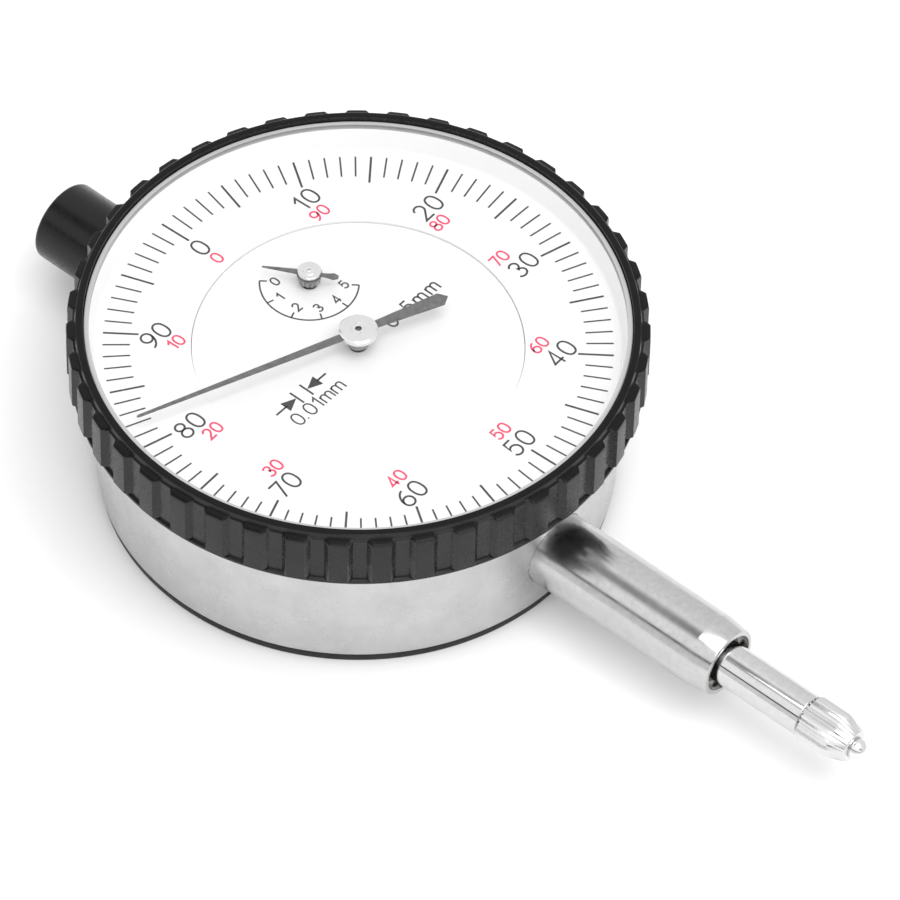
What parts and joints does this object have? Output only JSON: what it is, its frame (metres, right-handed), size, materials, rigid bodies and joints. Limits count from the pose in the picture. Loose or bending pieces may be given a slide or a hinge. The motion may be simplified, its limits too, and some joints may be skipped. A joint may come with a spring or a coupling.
{
  "type": "dial indicator",
  "caption": "Plunger dial indicator: knurled bezel that turns with its dial, clear crystal, long and short hands, round stem and a spring-loaded spindle with a ball contact.",
  "frame": {"origin": "centre of the back cover's outer flat face, on the dial's axis", "axes": "+Z out of the dial towards the reader, -Y along the stem to the contact point, +Y towards the dust cap, +X to the reader's right"},
  "size_m": [0.0586, 0.107, 0.0219],
  "materials": {
    "back_cover": "satin black",
    "back_cover_screw_1": "bright spring steel",
    "back_cover_screw_2": "bright spring steel",
    "back_cover_screw_3": "bright spring steel",
    "back_cover_screw_4": "bright spring steel",
    "case": "satin",
    "inner_dial_disc": "white dial enamel",
    "stem": "satin",
    "stem_bush": "oiled sintered bronze",
    "dust_cap": "satin black",
    "upper_bush": "oiled sintered bronze",
    "front_plate": "satin",
    "front_plate_screw_1": "bright spring steel",
    "front_plate_screw_2": "bright spring steel",
    "front_plate_screw_3": "bright spring steel",
    "upper_bridge": "satin",
    "upper_pillar_1": "satin",
    "upper_pillar_2": "satin",
    "upper_bridge_screw_1": "bright spring steel",
    "upper_bridge_screw_2": "bright spring steel",
    "lower_bridge": "satin",
    "lower_pillar_1": "satin",
    "lower_pillar_2": "satin",
    "lower_bridge_screw_1": "bright spring steel",
    "lower_bridge_screw_2": "bright spring steel",
    "hairspring": "bright spring steel",
    "hairspring_stud": "satin",
    "guide_rail": "satin",
    "spring_post": "polished",
    "main_spring": "bright spring steel",
    "bezel": "satin black",
    "bezel_spring_ring": "bright spring steel",
    "outer_dial_ring": "white dial enamel",
    "spacer_ring": "white",
    "crystal": "clear",
    "spindle": "polished",
    "guide_pin": "polished",
    "contact_point": "satin",
    "contact_ball": "polished",
    "centre_pinion_arbor": "polished",
    "long_hand": "dark grey",
    "long_hand_hub": "satin",
    "rack_pinion_arbor": "polished",
    "rack_wheel": "satin",
    "short_hand_arbor": "polished",
    "short_hand_wheel": "satin",
    "hairspring_collet": "satin",
    "short_hand": "dark grey",
    "short_hand_hub": "satin"
  },
  "bodies": {
    "housing": {"back_cover": "back_cover", "back_cover_screw_1": "back_cover_screw_1", "back_cover_screw_2": "back_cover_screw_2", "back_cover_screw_3": "back_cover_screw_3", "back_cover_screw_4": "back_cover_screw_4", "case": "case", "inner_dial_disc": "inner_dial_disc", "stem": "stem", "stem_bush": "stem_bush", "dust_cap": "dust_cap", "upper_bush": "upper_bush", "front_plate": "front_plate", "front_plate_screw_1": "front_plate_screw_1", "front_plate_screw_2": "front_plate_screw_2", "front_plate_screw_3": "front_plate_screw_3", "upper_bridge": "upper_bridge", "upper_pillar_1": "upper_pillar_1", "upper_pillar_2": "upper_pillar_2", "upper_bridge_screw_1": "upper_bridge_screw_1", "upper_bridge_screw_2": "upper_bridge_screw_2", "lower_bridge": "lower_bridge", "lower_pillar_1": "lower_pillar_1", "lower_pillar_2": "lower_pillar_2", "lower_bridge_screw_1": "lower_bridge_screw_1", "lower_bridge_screw_2": "lower_bridge_screw_2", "hairspring": "hairspring", "hairspring_stud": "hairspring_stud", "guide_rail": "guide_rail", "spring_post": "spring_post", "main_spring": "main_spring"},
    "bezel_assembly": {"bezel": "bezel", "bezel_spring_ring": "bezel_spring_ring", "outer_dial_ring": "outer_dial_ring", "spacer_ring": "spacer_ring", "crystal": "crystal"},
    "spindle_assembly": {"spindle": "spindle", "guide_pin": "guide_pin", "contact_point": "contact_point", "contact_ball": "contact_ball"},
    "long_hand_assembly": {"centre_pinion_arbor": "centre_pinion_arbor", "long_hand": "long_hand", "long_hand_hub": "long_hand_hub"},
    "rack_pinion_assembly": {"rack_pinion_arbor": "rack_pinion_arbor", "rack_wheel": "rack_wheel"},
    "short_hand_assembly": {"short_hand_arbor": "short_hand_arbor", "short_hand_wheel": "short_hand_wheel", "hairspring_collet": "hairspring_collet", "short_hand": "short_hand", "short_hand_hub": "short_hand_hub"}
  },
  "joints": [
    {"name": "long_hand_spin", "type": "hinge", "parent": "housing", "child": "long_hand_assembly", "pos_m": [0, 0, 0.0199], "axis": [0, 0, -1], "range_deg": [0, 1908]},
    {"name": "spindle_slide", "type": "slide", "parent": "housing", "child": "spindle_assembly", "axis": [0, 1, 0], "range_m": [0, 0.0053], "stiffness_N_per_m": 60, "springref_m": -0.01, "deforming": ["main_spring"]},
    {"name": "rack_pinion_spin", "type": "hinge", "parent": "housing", "child": "rack_pinion_assembly", "pos_m": [-0.0031, -0.0093, 0.007], "axis": [0, 0, -1], "range_deg": [-190.8, 0]},
    {"name": "short_hand_spin", "type": "hinge", "parent": "housing", "child": "short_hand_assembly", "pos_m": [0.0031, 0.0093, 0.0192], "axis": [0, 0, -1], "range_deg": [-190.8, 0], "deforming": ["hairspring"]},
    {"name": "bezel_turn", "type": "hinge", "parent": "housing", "child": "bezel_assembly", "pos_m": [0, 0, 0.018], "axis": [0, 0, 1], "continuous": true}
  ],
  "couplings": [
    {"joint": "long_hand_spin", "follows": "spindle_slide", "rad_per_m": 6283.2},
    {"joint": "rack_pinion_spin", "follows": "spindle_slide", "rad_per_m": -628.32},
    {"joint": "short_hand_spin", "follows": "spindle_slide", "rad_per_m": -628.32}
  ]
}
